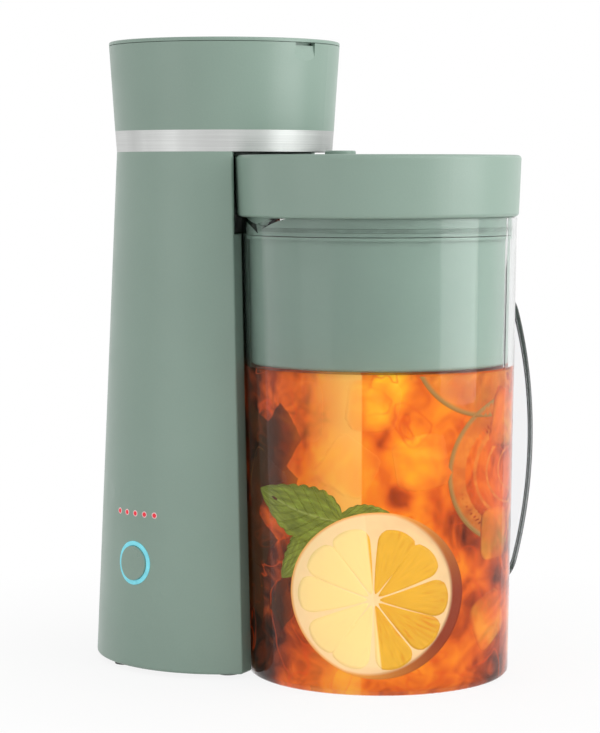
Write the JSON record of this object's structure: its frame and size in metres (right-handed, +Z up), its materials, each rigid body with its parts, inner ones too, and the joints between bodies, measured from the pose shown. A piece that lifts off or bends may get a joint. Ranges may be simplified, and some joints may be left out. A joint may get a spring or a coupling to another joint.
{
  "type": "iced tea maker",
  "caption": "Iced tea maker: a tapered brewing tower with a flared head and fill lid, and a clear lidded pitcher with basket and strap handle standing in its dock",
  "frame": {"origin": "on the counter, under the middle of the whole footprint", "axes": "+X from the tower's axis to the pitcher's axis, -Y to the front, +Z up"},
  "size_m": [0.2268, 0.175, 0.318],
  "materials": {
    "green_casing": "satin moulded sage green plastic",
    "green_button": "satin moulded sage green plastic",
    "green_lid": "satin moulded sage green plastic",
    "green_basket": "smooth sage green plastic",
    "dark_plastic": "fine grained dark plastic",
    "rubber": "matte rubber",
    "screw_steel": "plated steel",
    "brushed_band": "brushed round the ring",
    "tank_plastic": "smooth pale plastic",
    "silicone": "translucent silicone",
    "white_plastic": "plain moulded",
    "heater_aluminium": "extruded",
    "bracket_steel": "pressed sheet",
    "board_laminate": "coated laminate",
    "light_ring": "lit light guide",
    "led_red": "lit light pipes",
    "clear_plastic": "clear moulded plastic",
    "mesh_steel": "fine woven mesh"
  },
  "bodies": {
    "tower": {"tower_shell": "green_casing", "base_plate": "dark_plastic", "rubber_feet": "rubber", "base_screws": "screw_steel", "steel_band": "brushed_band", "head_shell": "green_casing", "hinge_pin": "screw_steel", "water_tank": "tank_plastic", "tank_strainer": "tank_plastic", "outlet_nozzle": "dark_plastic", "riser_tube": "silicone", "cold_hose": "silicone", "check_valve": "white_plastic", "heating_element": "heater_aluminium", "heater_bracket": "bracket_steel", "thermostat": "white_plastic", "thermal_fuse": "white_plastic", "control_board": "board_laminate", "board_screws": "screw_steel", "tact_switch": "dark_plastic", "button_light_ring": "light_ring", "led_lenses": "led_red", "cord_bushing": "rubber"},
    "top_lid": {"top_lid": "green_casing"},
    "power_button": {"power_button": "green_button"},
    "pitcher": {"pitcher_shell": "clear_plastic", "pitcher_handle": "clear_plastic", "brew_basket": "green_basket", "basket_filter": "green_basket", "filter_mesh": "mesh_steel"},
    "pitcher_lid": {"pitcher_lid": "green_lid", "lid_seal": "silicone", "shower_plate": "white_plastic"},
    "strength_selector": {"strength_selector": "green_lid"}
  },
  "joints": [
    {"name": "top_lid_hinge", "type": "hinge", "parent": "tower", "child": "top_lid", "pos_m": [-0.08994, -0.00069, 0.316], "axis": [-0.3256, -0.9455, 0], "range_deg": [0, 90]},
    {"name": "power_button_press", "type": "slide", "parent": "tower", "child": "power_button", "axis": [0.3024, 0.9532, 0], "range_m": [0, 0.0012], "stiffness_N_per_m": 600},
    {"name": "pitcher_dock", "type": "slide", "parent": "tower", "child": "pitcher", "axis": [1, 0, 0], "range_m": [0, 0.16]},
    {"name": "pitcher_lid_turn", "type": "hinge", "parent": "pitcher", "child": "pitcher_lid", "pos_m": [0.042, -0.01599, 0.23], "axis": [0, 0, 1], "range_deg": [0, 45]},
    {"name": "strength_selector_turn", "type": "hinge", "parent": "pitcher_lid", "child": "strength_selector", "pos_m": [0.0205, -0.01599, 0.26], "axis": [0, 0, 1], "range_deg": [-60, 60]}
  ]
}
